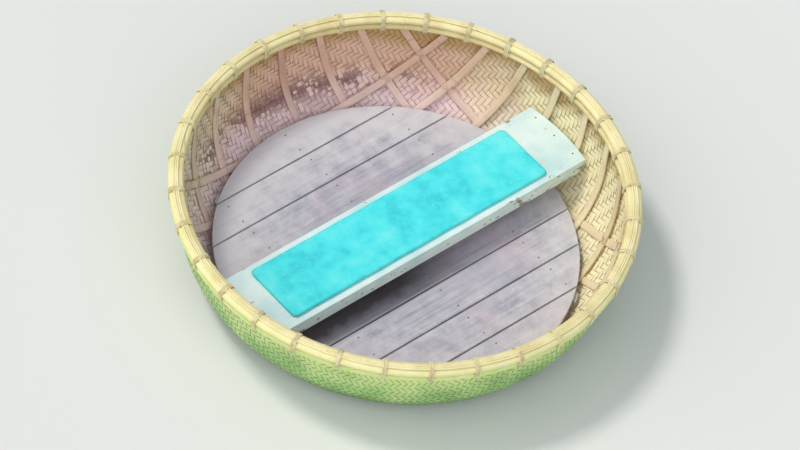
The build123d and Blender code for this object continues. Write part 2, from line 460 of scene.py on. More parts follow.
# Laid synthetic cord, weathered: strands wind round it, sun-bleached and grubby in turn
def cordMaterial(name, pale, dark):
    material, add, where = startMaterial(name)
    parts = add("SeparateXYZ", add("Attribute", attribute_name="grainPlace").outputs["Vector"]).outputs
    strands = add("SINE", add("MULTIPLY_ADD", parts["Y"], 700.0, parts["X"]))
    tone = add("MULTIPLY_ADD", strands, 0.09, add("TexNoise", where, 26.0, 4.0))
    colour = add("ValToRGB", tone, stops=[(0.34, dark), (0.6, pale)])
    return surface(material, colour, 0.8, strands, 0.7, 0.0005)


# Weathered sawn boards: silver-grey and mottled lilac, paler in a ring towards the floor's edge, with a
# painted shadow under the thwart
def boardMaterial(name, tones, grainAlong=(1.4, 60.0, 60.0)):
    # painted shadow under the thwart: a dark band along it, from low to high across the boat, fading out
    # towards its +X end
    thwartShadow = {"tone": "#33282c", "low": -0.3, "high": 0.16, "fade": 0.1, "most": 0.88,
            "from": 0.28, "to": -0.12}
    pale = {"tone": "#dddde3", "middle": (0.05, -0.05, 0.0), "low": 0.76, "high": 1.06, "most": 0.6}
    material, add, where = startMaterial(name)
    number = add("Attribute", attribute_name="boardNumber").outputs["Fac"]
    moved = add("VectorMath", where, add("CombineXYZ", add("MULTIPLY", number, 1.7)))
    mottle = add("TexNoise", where, 13.0, 7.0, 0.62)
    grain = add("TexNoise", add("Mapping", moved, Scale=grainAlong), 1.0, 7.0, 0.62, Distortion=0.35)
    fine = add("TexNoise", add("Mapping", moved, Scale=[5 * part for part in grainAlong]), 1.0, 4.0, 0.7)
    grain = add("MULTIPLY_ADD", fine, 0.6, grain)
    own = add("TexWhiteNoise", number, noise_dimensions="1D")
    tone = add("MULTIPLY_ADD", own, 0.14, add("MULTIPLY_ADD", grain, 1.2, mottle))
    parts = add("SeparateXYZ", where).outputs
    across = add("MULTIPLY_ADD", mottle, 0.12, parts["Y"])
    middle = 0.06 + (thwartShadow["low"] + thwartShadow["high"]) / 2  # the mottle adds 0.06 on average
    across = add("ABSOLUTE", add("SUBTRACT", across, middle))
    reach = (thwartShadow["high"] - thwartShadow["low"]) / 2
    far = add("MULTIPLY_ADD", mottle, 0.6, add("VectorMath", where, pale["middle"], operation="DISTANCE"))
    colour = tinted(
        add, add("ValToRGB", add("DIVIDE", tone, 2.98), stops=evenly(tones, 0.36, 0.68)),
        (add("TexNoise", where, 3.4, 3.0), 0.5, 0.68, 0.45, "#c6b2c2"),
        # paler in a ring towards the floor's edge
        (far, pale["low"], pale["high"], pale["most"], pale["tone"]),
        # painted shadow of the thwart, near black
        (across, reach, reach - thwartShadow["fade"], thwartShadow["most"], thwartShadow["tone"],
         add("MapRange", parts["X"], thwartShadow["from"], thwartShadow["to"])))
    return surface(material, colour, add("MapRange", mottle, To_Min=0.55, To_Max=0.85), grain, 0.5, 0.0012)


# Gloss paint on planed timber: pale aqua, chipped to grey wood where it gets rubbed. Brush
# marks and the timber's grain show through along the plank
def thwartPaintMaterial():
    look = {"paint": "#e2f6f6", "shade": "#c6e6ea", "brushed": "#b4d3d6", "wood": "#9b8f83",
            "chipScale": 30.0, "chips": 0.64, "edgeFrom": 0.165, "edgeTo": 0.192, "edgeChips": 0.035}
    material, add, where = startMaterial("chippedAquaPaint")
    tones = [(0.35, look["shade"]), (0.6, look["paint"])]
    brush = add("TexNoise", add("Mapping", where, Scale=(7.0, 330.0, 330.0)), 1.0, 4.0, 0.65)
    coat = add("ValToRGB", add("TexNoise", where, 5.0, 4.0), stops=tones)
    coat = tinted(add, coat, (brush, 0.5, 0.7, 0.4, look["brushed"]))
    chips = add("TexNoise", add("Mapping", where, Scale=(0.45, 1.0, 1.0)), look["chipScale"], 7.0, 0.66)
    across = add("ABSOLUTE", add("SeparateXYZ", where).outputs["Y"])
    rubbed = add("MapRange", across, look["edgeFrom"], look["edgeTo"], To_Max=look["edgeChips"])
    bare = add("MapRange", add("ADD", chips, rubbed), look["chips"], look["chips"] + 0.02)
    colour = add("Mix", bare, coat, look["wood"], data_type="RGBA")
    height = add("SUBTRACT", add("MULTIPLY_ADD", brush, 0.25, 1.0), bare)
    return surface(material, colour, add("MapRange", bare, To_Min=0.38, To_Max=0.8), height)


# Closed-cell foam with a moulded skin: saturated turquoise, faded and scuffed paler on top
def padMaterial():
    look = {"deep": "#30cfdc", "foam": "#45e5ee", "faded": "#6eeff3", "scuff": "#a8f4f3", "pore": 0.0025}
    material, add, where = startMaterial("mouldedFoam")
    tones = [(0.33, look["deep"]), (0.47, look["foam"]), (0.68, look["faded"])]
    colour = add("ValToRGB", add("TexNoise", where, 7.0, 5.0, 0.6), stops=tones)
    scuffs = add("TexNoise", add("Mapping", where, Scale=(18.0, 60.0, 60.0)), 1.0, 6.0, 0.7)
    colour = tinted(add, colour, (scuffs, 0.6, 0.72, 0.55, look["scuff"]))
    return surface(material, colour, 0.62, add("TexVoronoi", where, 1 / look["pore"]), 0.5, 0.0008)


# Galvanised nail and screw heads: dull zinc with rust blooms
def nailMaterial():
    material, add, where = startMaterial("rustedZinc")
    blooms = add("TexNoise", where, 160.0, 3.0)
    colour = add("ValToRGB", blooms, stops=[(0.42, "#6b4a38"), (0.56, "#8e8f90")])
    return surface(material, colour, 0.55, Metallic=0.6)


# The mat: splints of a twill weave, laid out flat and bent up to the hull's line

mat = {
    "pitch": 0.0245,  # from splint to splint
    "width": 0.0228,
    "thickness": 0.003,
    "height": 0.0021,  # by which a splint passes over or under
    "inset": 0.0046,  # of the weave's middle inside the hull's outer side
    "float": 2.0,  # splints that one passes over in a row
    "topGap": 0.004,
    "coatThick": 0.0016,
}


def weaveTree():
    tree, add, given = startTree(
        "wovenMat", "pitch width thickness height inset float direction length bottomRadius bottomLength "
        "bilgeRadius bilgeLength deadrise flare keel",
        splints="Int", inside="Material", outside="Material", side="Material")
    pitch, direction, thick = given["pitch"], given["direction"], given["thickness"]
    splints = given["splints"]
    # flat splints with two rows of corners for each crossing
    half = add("MULTIPLY", pitch, 0.5)
    rows = add("MULTIPLY", splints, 2.0)
    splint = add("MeshGrid", given["width"], add("MULTIPLY", add("SUBTRACT", rows, 1.0), half), 2, rows)
    start = add("MULTIPLY", add("MULTIPLY", add("SUBTRACT", splints, 1.0), half), -1.0)
    line = add("MeshLine", splints, add("CombineXYZ", start), add("CombineXYZ", pitch))
    flat = add("RealizeInstances", add("InstanceOnPoints", line, Instance=splint))

    # which crossing a corner belongs to, and whether its splint is over or under there
    place = add("InputPosition")
    parts = add("SeparateXYZ", place).outputs
    across, along = (add("ROUND", add("DIVIDE", parts[axis], pitch)) for axis in "XY")
    crosswise = add("LESS_THAN", direction, 0.0)
    diagonal = add("ADD", add("MULTIPLY_ADD", along, direction, across), crosswise)
    phase = add("FLOORED_MODULO", diagonal, add("MULTIPLY", given["float"], 2.0))
    sign = add("MULTIPLY_ADD", add("LESS_THAN", phase, given["float"]), 2.0, -1.0)
    lift = add("MULTIPLY", add("MULTIPLY", sign, direction), given["height"])
    inset = add("ADD", add("MULTIPLY_ADD", thick, -0.5, lift), given["inset"])
    own = add("SUBTRACT", parts["X"], add("MULTIPLY", across, pitch))
    number = add("MULTIPLY_ADD", direction, 500.0, across)  # apart in the two directions
    grain = add("CombineXYZ", own, parts["Y"], number)
    flat = add("StoreNamedAttribute", flat, Name="grainPlace", Value=grain, data_type="FLOAT_VECTOR")

    # cut to the mat's round, then bent up: flat, rising bottom, bilge and wall in turn
    level = add("VectorMath", place, (1, 1, 0), operation="MULTIPLY")
    reach = add("VectorMath", level, operation="LENGTH")
    flat = add("DeleteGeometry", flat, add("Compare", reach, given["length"]), domain="FACE")
    rest = add("SUBTRACT", reach, given["bottomRadius"])
    bottom = add("Clamp", rest, Max=given["bottomLength"])
    rest = add("SUBTRACT", rest, given["bottomLength"])
    bilge = add("Clamp", rest, Max=given["bilgeLength"])
    wall = add("MAXIMUM", add("SUBTRACT", rest, given["bilgeLength"]), 0.0)
    bend = add("DIVIDE", bilge, given["bilgeRadius"])
    turn = add("ADD", bend, given["deadrise"])
    slope = add("MULTIPLY_ADD", add("GREATER_THAN", bottom, 0.0), given["deadrise"], bend)
    angles = (given["deadrise"], given["flare"], turn, slope)
    riseSine, flareSine, turnSine, slopeSine = (add("SINE", angle) for angle in angles)
    riseCosine, flareCosine, turnCosine, slopeCosine = (add("COSINE", angle) for angle in angles)
    bilgeOut, bilgeUp = add("SUBTRACT", turnSine, riseSine), add("SUBTRACT", riseCosine, turnCosine)
    radius, height = add("MINIMUM", reach, given["bottomRadius"]), given["keel"]
    for length, out, up in ((bottom, riseCosine, riseSine), (given["bilgeRadius"], bilgeOut, bilgeUp),
                            (wall, flareSine, flareCosine)):
        radius = add("MULTIPLY_ADD", length, out, radius)
        height = add("MULTIPLY_ADD", length, up, height)
    radius = add("SUBTRACT", radius, add("MULTIPLY", slopeSine, inset))
    height = add("MULTIPLY_ADD", slopeCosine, inset, height)
    ray = add("VectorMath", level, operation="NORMALIZE")
    bowl = add("VectorMath", add("VectorMath", ray, radius, operation="SCALE"), add("CombineXYZ", Z=height))
    bent = add("SetPosition", flat, Position=bowl)

    # thickness: the inner face is raised off the outer one, and each has its own finish
    inner = add("ExtrudeMesh", bent, Offset_Scale=thick, Individual=False)
    raised = inner.outputs["Top"]
    face = add("MULTIPLY_ADD", raised, 0.5, 0.5)
    inner = add("StoreNamedAttribute", inner, Name="innerSide", Value=face, domain="FACE")
    inner = add("StoreNamedAttribute", inner, Name="fromOutside", Value=raised)
    outer = add("StoreNamedAttribute", add("FlipFaces", bent), Name="innerSide", Value=0.0, domain="FACE")
    both = add("JoinGeometry", inner)
    tree.links.new(outer.outputs[0], both.inputs[0])
    whole = add("MergeByDistance", both, Distance=0.00001)
    quarter = add("CombineXYZ", Z=add("MULTIPLY", crosswise, -pi / 2))
    whole = add("RealizeInstances", add("Transform", whole, Rotation=quarter))
    whole = add("SetMaterial", whole, Material=given["outside"])
    side = add("InputNamedAttribute", "innerSide")
    for least, finish in ((0.25, given["side"]), (0.75, given["inside"])):
        whole = add("SetMaterial", whole, add("Compare", side, least), finish)
    add("NodeGroupOutput", whole)
    return tree


def makeMat():
    tree = weaveTree()
    inside, side = matInsideMaterial(), splintSideMaterial()
    for name, direction, nodes in (("matWarp", 1.0, ["hull_mat"]), ("matWeft", -1.0, [])):
        woven = made(
            newObject(name, [(0, 0, 0)]), tree, direction=direction, length=matLength - mat["topGap"],
            bottomRadius=hull["bottomRadius"], bottomLength=bottomLength, bilgeRadius=bilgeRadius,
            bilgeLength=bilgeLength, deadrise=deadrise, flare=flare, keel=keel,
            splints=2 * int(matLength / mat["pitch"]) + 1, inside=inside, outside=hullPaint, side=side, **mat)
        finished(woven, "woven_bamboo_mat", *nodes)


def makeMatCoat():
    # a closed skin of resin in the weave's middle, painted outside
    low, thick, steps, around = mat["inset"] - mat["coatThick"] / 2, mat["coatThick"], 60, 144
    lengths = [matLength * step / steps for step in range(1, steps)] + [matLength - mat["topGap"]]
    line = [hullLine(length, low)[:2] for length in lengths]
    line += [hullLine(length, low + thick)[:2] for length in reversed(lengths)]
    count, last = len(line), around * len(line)
    vertices = [turned(*place, 2 * pi * step / around) for step in range(around) for place in line]
    vertices += [Vector((0, 0, keel + low)), Vector((0, 0, keel + low + thick))]
    faces = gridFaces(around, count, rowsMeet=True)
    for here in range(0, last, count):
        there = (here + count) % last
        faces += [(here, last, there), (there + count - 1, last + 1, here + count - 1)]
    coat = newObject("matCoat", vertices, faces)
    turnOutwards(coat)
    coat.data.materials.append(hullPaint)
    coat.data.materials.append(resinMaterial())
    eye = Vector((0, 0, 0.6))
    for face in coat.data.polygons:
        # what faces a point over the boat's middle is resin
        face.material_index = 1 if face.normal.dot(eye - face.center) > 0 else 0
    finished(coat, "woven_bamboo_mat")


hullPaint = hullPaintMaterial()
makeMat()
makeMatCoat()
print("mat made")

# Strips and canes that follow a path: used for the ribs and for the canes along the rim

def stripTree():
    tree, add, given = startTree(
        "bentStrip", "width thickness squareness flatness step jointSpacing jointHeight jointWidth "
        "jointStain", sides="Int", material="Material")
    path = add("ResampleCurve", add("MeshToCurve", given["Geometry"]), Length=given["step"], mode="LENGTH")
    facing = add("InputNamedAttribute", "facing", data_type="FLOAT_VECTOR")
    path = add("SetCurveNormal", path, Normal=facing, mode="FREE")
    length = add("SplineParameter").outputs["Length"]
    path = add("StoreNamedAttribute", path, Name="alongPath", Value=length)

    # the section is a circle drawn out towards a rectangle
    parts = add("SeparateXYZ", add("InputPosition")).outputs
    sides = []
    for axis, size, power in (("X", "thickness", "flatness"), ("Y", "width", "squareness")):
        drawn = add("POWER", add("ABSOLUTE", parts[axis]), given[power])
        drawn = add("MULTIPLY", drawn, add("SIGN", parts[axis]))
        sides.append(add("MULTIPLY", drawn, add("MULTIPLY", given[size], 0.5)))
    profile = add("CurvePrimitiveCircle", Resolution=given["sides"], Radius=1.0)
    profile = add("SetPosition", profile, Position=add("CombineXYZ", *sides))
    profile = add("StoreNamedAttribute", profile, Name="acrossPath", Value=parts["Y"])
    solid = add("CurveToMesh", path, profile, Fill_Caps=True)

    # joints of the culm stand up as low rings, at places of its own on each strip
    names, spacing = ("alongPath", "acrossPath", "ownNumber"), given["jointSpacing"]
    along, across, own = (add("InputNamedAttribute", name) for name in names)
    phase = add("MULTIPLY_ADD", own, 0.37, add("DIVIDE", along, spacing))
    away = add("MULTIPLY", add("ABSOLUTE", add("SUBTRACT", add("FRACT", phase), 0.5)), spacing)
    stain = add("MapRange", away, 0.0, given["jointStain"], 1.0, 0.0)
    ridge = add("MapRange", away, 0.0, given["jointWidth"], 1.0, 0.0, interpolation_type="SMOOTHSTEP")
    ridge = add("MULTIPLY", ridge, given["jointHeight"])
    lift = add("VectorMath", add("InputNormal"), ridge, operation="SCALE")
    solid = add("StoreNamedAttribute", solid, Name="culmJoint", Value=stain)
    grain = add("CombineXYZ", across, along, own)
    solid = add("StoreNamedAttribute", solid, Name="grainPlace", Value=grain, data_type="FLOAT_VECTOR")
    endTree(add, given, add("RealizeInstances", add("SetPosition", solid, Offset=lift)))
    return tree


def lineEdges(first, last, closed=False):
    return [(at, at + 1) for at in range(first, last)] + [(last, first)] * closed


def pathObject(name, paths, closed=False):
    # each path is a list of (point, facing); the strips' flat sides face the facing
    points, facings, numbers, edges = [], [], [], []
    for number, path in enumerate(paths):
        edges += lineEdges(len(points), len(points) + len(path) - 1, closed)
        points += [point for point, _ in path]
        facings += [facing for _, facing in path]
        numbers += [float(number)] * len(path)
    return newObject(name, points, edges=edges, facing=facings, ownNumber=numbers)


bentStrip = stripTree()

# Ribs: split bamboo bent over the mat, each in its own leaning plane, as the model has them

rib = {
    "width": 0.034, "thick": 0.01, "pathSteps": 110,
    "tones": ["#98755f", "#bd9a80", "#d6b99d", "#e6d2ba"], "stain": "#7d5746", "ageingAndLight": 0.6,
    "strip": {"thickness": 0.0094, "squareness": 0.22, "flatness": 0.5, "step": 0.008, "sides": 14,
              "jointSpacing": 0.31, "jointHeight": 0.0011, "jointWidth": 0.008, "jointStain": 0.005},
}
firstInset = hull["matThick"] + hull["seatGap"]
secondInset = firstInset + rib["thick"] + hull["seatGap"]
ribEnd = matLength - 2 * hull["lathHeight"] - hull["courseGap"] - hull["seatGap"]


def ribOffset(number, inset):
    # gives how far to the side the rib stands at a height: it leans in a straight line
    lean = sin(ribPitch * (number - (ribsPerSet - 1) / 2))
    lowX, lowZ, _ = hullLine(abs(ribEnd * lean), inset)
    highX, highZ, _ = hullLine(ribEnd, inset)
    lowX = copysign(lowX, lean)
    return lambda height: lowX + (highX * lean - lowX) * (height - lowZ) / (highZ - lowZ)


def meeting(inset, *offsets, high=matLength):
    # the length of mat at which a line with these offsets from the middle meets the round
    def beyond(length):
        radius, height, _ = hullLine(length, inset)
        return radius ** 2 - sum(offset(height) ** 2 for offset in offsets)

    return lengthWhere(beyond, high=high)


def inwards(x, y, radius, slope):
    # square to the mat at a place on the round
    return Vector((-x / radius * sin(slope), -y / radius * sin(slope), cos(slope)))


def ribSpot(offset, length, inset):
    radius, height, slope = hullLine(length, inset)
    x = offset(height)
    y = sqrt(max(radius * radius - x * x, 0))
    return Vector((x, y, height)), inwards(x, y, radius, slope)


def ribPath(number, inset, crosswise):
    offset, steps, mirror = ribOffset(number, inset), rib["pathSteps"], Vector((1, -1, 1))
    lowest = meeting(inset, offset, high=ribEnd)
    # points lie closer together near the middle, where the strip runs level
    lengths = [lowest + (ribEnd - lowest) * (step / steps) ** 2 for step in range(steps + 1)]
    half = [ribSpot(offset, length, inset) for length in lengths]
    path = [(point * mirror, facing * mirror) for point, facing in reversed(half[1:])] + half
    return [(point.yxz, facing.yxz) for point, facing in path] if crosswise else path


def makeRibs():
    material, add, where = startMaterial("dryBambooStrip")
    colour, fibres, place = bambooColour(add, where, rib["tones"], rib["stain"], own=0.6)
    # age and painted light cover over half of the strip's own tone, so that ribs stand out from the mat
    height = add("SeparateXYZ", where).outputs["Z"]
    ageAndLightMix, _ = ageAndLightColour(add, colour, where, place, height, add("TexNoise", where, 9.0, 4.0))
    surface(material, add("Mix", rib["ageingAndLight"], colour, ageAndLightMix, data_type="RGBA"), 0.5, fibres, deep=0.0004)
    for name, node, inset, crosswise in (
            ("ribsUnder", "rib_under", firstInset, False), ("ribsOver", "rib_over", secondInset, True)):
        paths = [ribPath(number, inset + rib["thick"] / 2, crosswise) for number in range(ribsPerSet)]
        ribs = made(pathObject(name, paths), bentStrip, width=rib["width"], material=material, **rib["strip"])
        finished(ribs, "rib_bamboo", *[f"{node}_{number + 1}" for number in range(ribsPerSet)])


makeRibs()
print("ribs made")

# Rim laths: half-round split culms, each bent to a ring whose ends taper past each other

lath = {
    "roundness": (2.4, 2.2),
    "points": 13,  # round a section
    "steps": 240,  # along the ring
    "jointSpacing": (0.27, 0.38),
    "jointHeight": 0.0012,
    "jointReach": 0.009,  # of its ridge to each side
    "jointSwell": 0.02,
    "jointStain": 0.005,
    "jointsFrom": 0.1,  # from the scarf's middle, in radians
    "jointsTo": 0.2,
    "waves": (3, 5, 8, 13),
    "waveOut": 0.0003,
    "waveUp": 0.0004,
    "scarfLength": 0.12,
    "scarfSteps": 6,
    "scarfGap": 0.0008,
    "tip": 0.97,  # part of the thickness that is cut away at the tip farther from the mat, at most
    "feather": 0.0003,  # thickness that stays at the tip nearer to the mat
}


def wobble(amount):
    parts = [(wave, random.uniform(0.4, 1) * amount, random.uniform(0, 2 * pi)) for wave in lath["waves"]]
    return lambda angle: sum(size * sin(wave * angle + phase) for wave, size, phase in parts)


def makeLath(name, node, side, top, quarter, material):
    # side is 1 outside the mat and -1 inside it; quarter says on which quarter the scarf lies
    height, thick, count = hull["lathHeight"], hull["lathThick"], lath["points"]
    back = hull["seatGap"] if side > 0 else -hull["matThick"] - hull["seatGap"]
    middleRadius = topRadius + back + side * thick / 2
    scarf = ribPitch * (ribsPerSet - 1) / 2 + quarter * pi / 2
    half = lath["scarfLength"] / 2 / middleRadius
    joints, place = [], scarf + lath["jointsFrom"]
    while place < scarf + 2 * pi - lath["jointsTo"]:
        joints.append(place)
        place += random.uniform(*lath["jointSpacing"]) / middleRadius
    start, end = scarf - half, scarf + 2 * pi + half
    angles = [start + (end - start) * step / lath["steps"] for step in range(lath["steps"] + 1)]
    reach = lath["jointReach"] / middleRadius
    angles += [joint + reach * third / 3 for joint in joints for third in range(-3, 4)]
    cuts = [2 * half * step / lath["scarfSteps"] for step in range(lath["scarfSteps"] + 1)]
    angles += [start + cut for cut in cuts] + [end - cut for cut in cuts]
    angles = sorted({round(angle, 6) for angle in angles})
    outWave, upWave = wobble(lath["waveOut"]), wobble(lath["waveUp"])
    power, root = lath["roundness"]
    vertices, grain, ring = [], [], []
    for angle in angles:
        near = min(abs(angle - joint) for joint in joints) * middleRadius
        ridge = max(0.0, 1 - (near / lath["jointReach"]) ** 2) ** 2
        stain = max(0.0, 1 - near / lath["jointStain"])
        # on the scarf one end keeps what is deeper than the cut, the other what is shallower
        least, most = 0.0, 2 * thick
        for away, deeper in ((angle - start, side > 0), (end - angle, side < 0)):
            part = away / (2 * half)
            if part < 1 and deeper:
                least = min(thick * (1 - part) + lath["scarfGap"] / 2, lath["tip"] * thick)
            elif part < 1:
                most = max(thick * part - lath["scarfGap"] / 2, lath["feather"])
        tallest = (1 - (least / thick) ** root) ** (1 / power)
        around = 0.0
        for point in range(count):
            up = tallest * sin(pi * (point / (count - 1) - 0.5))
            depth = thick * max(1 - abs(up) ** power, 0) ** (1 / root)
            depth = min(max(depth * (1 + ridge * lath["jointHeight"] / thick * 2), least), most)
            out = back + side * (depth if 0 < point < count - 1 else least) + outWave(angle) * depth / thick
            up = top - height / 2 + up * height / 2 * (1 + ridge * lath["jointSwell"]) + upWave(angle)
            vertices.append(rimPoint(out, up, angle))
            if point:
                around += (vertices[-1] - vertices[-2]).length
            grain.append((around, angle * middleRadius, quarter + 10.0))
            ring.append(stain)
    ends = [tuple(range(count)), tuple(range(len(vertices) - 1, len(vertices) - count - 1, -1))]
    faces = gridFaces(len(angles), count, columnsMeet=True) + ends
    piece = newObject(name, vertices, faces, grainPlace=grain, culmJoint=ring)
    turnOutwards(piece)
    finished(piece, "rim_bamboo", node, material=material)


def makeRim():
    upper = paintedLathMaterial("creamPaintedBamboo", "#ece5b0", "#e1de9c")
    lower = paintedLathMaterial("greenPaintedBamboo", "#dae79a", "#c6dd88")
    dripped = paintedLathMaterial("ochreBambooPaintedOnTop", "#efe5b0", "#dfd19a", reach=0.009)
    halfBare = paintedLathMaterial("ochreBambooHalfPainted", "#e9dca8", "#d8c48c", reach=0.034)
    lowerTop = -hull["lathHeight"] - hull["courseGap"]
    makeLath("lathOuterUpper", "rim_lath_outer_upper", 1, 0, 0, upper)
    makeLath("lathOuterLower", "rim_lath_outer_lower", 1, lowerTop, 2, lower)
    makeLath("lathInnerUpper", "rim_lath_inner_upper", -1, 0, 1, dripped)
    makeLath("lathInnerLower", "rim_lath_inner_lower", -1, lowerTop, 3, halfBare)


# Canes over the mat's edge, between the laths

cane = {
    "places": (-0.0141, -0.0045, 0.0051), "up": 0.0044, "wave": 0.00025, "steps": 360,
    "strip": {"width": 0.0096, "thickness": 0.0079, "squareness": 0.85, "flatness": 0.85, "step": 0.014,
              "sides": 10, "jointSpacing": 0.43, "jointHeight": 0.0005, "jointWidth": 0.014,
              "jointStain": 0.008},
}


def makeCanes():
    angles = [2 * pi * step / cane["steps"] for step in range(cane["steps"])]
    upward = [rimPoint(0, 1, angle) - rimPoint(0, 0, angle) for angle in angles]
    paths = []
    for out in cane["places"]:
        wave = wobble(cane["wave"])
        paths.append(list(zip([rimPoint(out + wave(angle), cane["up"], angle) for angle in angles], upward)))
    material = paintedLathMaterial("creamPaintedCane", "#f3ebbd", "#e2d8a2", worn=0.6)
    canes = made(pathObject("rimCanes", paths, closed=True), bentStrip, material=material, **cane["strip"])
    finished(canes, "rim_bamboo", "rim_cap")


makeRim()
makeCanes()
print("rim made")

# Cord work: a bent piece of cord is swept once and set at many places

cordage = {
    "lashing": 0.0042, "turns": 5, "turnPitch": 0.0044, "jitter": radians(0.05),
    "tie": 0.003, "tieBeside": 1.1, "tieOver": 0.8, "askew": 0.05, "smooth": 2, "sides": 6,
}
setting = ("facing", "heading", "stretch")  # what each point says that cord is set at


def cordTree():
    # Geometry holds points to set the cord at, and shape is its bent line
    tree, add, given = startTree(
        "cordWork", "diameter", shape="Object", sides="Int", smooth="Int", material="Material")
    line = add("MeshToCurve", add("ObjectInfo", Object=given["shape"]).outputs["Geometry"])
    line = add("CurveSplineType", line, spline_type="CATMULL_ROM")
    line = add("SetSplineResolution", line, Resolution=given["smooth"])
    line = add("ResampleCurve", line, mode="EVALUATED")
    place = add("SplineParameter").outputs
    line = add("StoreNamedAttribute", line, Name="alongPath", Value=place["Length"])
    radius, turn = add("MULTIPLY", given["diameter"], 0.5), add("MULTIPLY", place["Factor"], 2 * pi)
    section = add("CurvePrimitiveCircle", Resolution=given["sides"], Radius=radius)
    section = add("StoreNamedAttribute", section, Name="acrossPath", Value=turn)
    swept = add("CurveToMesh", line, section, Fill_Caps=True)
    vectors = (add("InputNamedAttribute", name, data_type="FLOAT_VECTOR") for name in setting)
    facing, heading, stretch = vectors
    rotation = add("AxesToRotation", facing, heading, primary_axis="Z", secondary_axis="X")
    many = add("InstanceOnPoints", given["Geometry"], Instance=swept, Rotation=rotation, Scale=stretch)
    many = add("RealizeInstances", many)
    grain = add("CombineXYZ", *(add("InputNamedAttribute", name) for name in ("acrossPath", "alongPath")))
    many = add("StoreNamedAttribute", many, Name="grainPlace", Value=grain, data_type="FLOAT_VECTOR")
    endTree(add, given, many)
    return tree


cordWork = cordTree()


def setCord(name, line, places, diameter, material, *nodes, closed=False):
    # line is one cord's bent line at the origin; places are (point, facing, heading, stretch)
    shape = newObject(name + "Shape", line, edges=lineEdges(0, len(line) - 1, closed))
    points, *columns = zip(*places)
    seeds = newObject(name, points, **dict(zip(setting, columns)))
    cords = made(seeds, cordWork, shape=shape, diameter=diameter, sides=cordage["sides"],
                 smooth=cordage["smooth"], material=material)
    bpy.data.objects.remove(shape)
    finished(cords, "lashing_cord", *nodes)


def makeLashings():
    # one turn round the laths and the canes, in the rim's own directions
    half = [(0.0003, -0.0695), (0.012, -0.0705), (0.024, -0.0665), (0.0313, -0.058), (0.0315, -0.04),
            (0.0315, -0.017), (0.0303, -0.0075), (0.024, 0.0022), (0.0135, 0.0078), (0.004, 0.0104)]
    middle = -hull["matThick"] / 2
    line = half + [(middle, 0.0109)] + [(2 * middle - out, up) for out, up in reversed(half)]
    line = [rimPoint(out, up, 0) for out, up in line]
    places = []
    for number in range(4 * ribsPerSet):
        for turn in range(cordage["turns"]):
            angle = ribPitch * (number + ribsPerSet / 2) + random.uniform(-1, 1) * cordage["jitter"]
            side = (turn - (cordage["turns"] - 1) / 2) * cordage["turnPitch"]
            heading, beside = turned(1, 0, angle), turned(side, 0, angle + pi / 2)
            places.append((beside, Vector((0, 0, 1)), heading, (1, 1, 1)))
    cord = cordMaterial("laidCord", "#efe7bf", "#cfc08e")
    setCord("rimLashings", line, places, cordage["lashing"], cord, "rim_lashings", closed=True)


def makeRibTies():
    # two pieces of cord cross over each place where ribs meet above the floor, from notch to notch
    reach, top = rib["width"] / 2 * sqrt(2), rib["thick"] + 0.0012
    half = [(-reach - 0.0014, -0.009), (-reach - 0.0012, 0.003), (-0.93 * reach, top - 0.0006),
            (-0.5 * reach, top)]
    line = half + [(0, top + 0.0005)] + [(-along, up) for along, up in reversed(half)]
    line = [Vector((along, 0, up)) for along, up in line]
    floorTop, belowRim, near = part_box("floor_board_5")[1].z, 0.02, 0.01
    places = []
    for under, over in [(under, over) for under in range(ribsPerSet) for over in range(ribsPerSet)]:
        offsets = ribOffset(under, secondInset), ribOffset(over, secondInset)
        length = meeting(secondInset, *offsets)
        radius, height, slope = hullLine(length, secondInset)
        if height < floorTop or length > ribEnd - belowRim:
            continue
        point = Vector((offsets[0](height), offsets[1](height), height))
        facing = inwards(point.x, point.y, radius, slope)
        runs = []
        for own, offset in enumerate(offsets):
            low, high = (ribSpot(offset, length + step, secondInset)[0] for step in (-near, near))
            run = (high - low).normalized()
            run = run.yxz if own else run
            run[1 - own] = copysign(run[1 - own], point[1 - own])
            runs.append(run)
        first, second = runs
        half = first.angle(second) / 2
        for layer, heading, notch in ((0, first + second, sin(half)), (1, first - second, cos(half))):
            stretch = (rib["width"] / 2 / notch / reach, 1, 1)
            for shift in (-0.5, 0.5):
                askew = random.uniform(-cordage["askew"], cordage["askew"])
                heading = Matrix.Rotation(askew, 3, facing) @ (heading - heading.project(facing))
                heading = heading.normalized()
                beside = facing.cross(heading) * shift * cordage["tie"] * cordage["tieBeside"]
                raised = facing * layer * cordage["tie"] * cordage["tieOver"]
                places.append((point + beside + raised, facing, heading, stretch))
    setCord("ribTies", line, places, cordage["tie"], cordMaterial("laidCordInShade", "#e9d8be", "#bfa687"))


makeLashings()
makeRibTies()
print("cord work made")

# Boards and thwart: the model's own solids with their edges eased

timber = {
    "boards": ["#8b889b", "#a8a7b8", "#bcbcc9", "#d2d1d8"], "boardEase": 0.0022,
    "bearers": ["#7f7784", "#9c96a2", "#b0abb6"], "bearerEase": 0.0015, "thwartEase": 0.002,
    "sharp": radians(40),  # edges that turn more than this are eased
}


def easedCopy(name, node, slotName, material, ease, number=0.0):
    solids = [item for item in bpy.data.objects if item.type == "MESH"]
    source = next(item for item in solids if item.name.split(".")[0] == node)
    piece = bpy.data.objects.new(name, source.data.copy())
    scene.collection.objects.link(piece)
    turnOutwards(piece, merge=0.00002, flatten=radians(2))
    bevel = piece.modifiers.new("ease", "BEVEL")
    bevel.width = ease
    bevel.segments = 2
    bevel.limit_method = "ANGLE"
    bevel.angle_limit = timber["sharp"]
    piece = settled(piece)
    piece.data.polygons.foreach_set("use_smooth", [False] * len(piece.data.polygons))
    writeAttribute(piece, "boardNumber", [number] * len(piece.data.vertices))
    finished(piece, slotName, node, material=material)


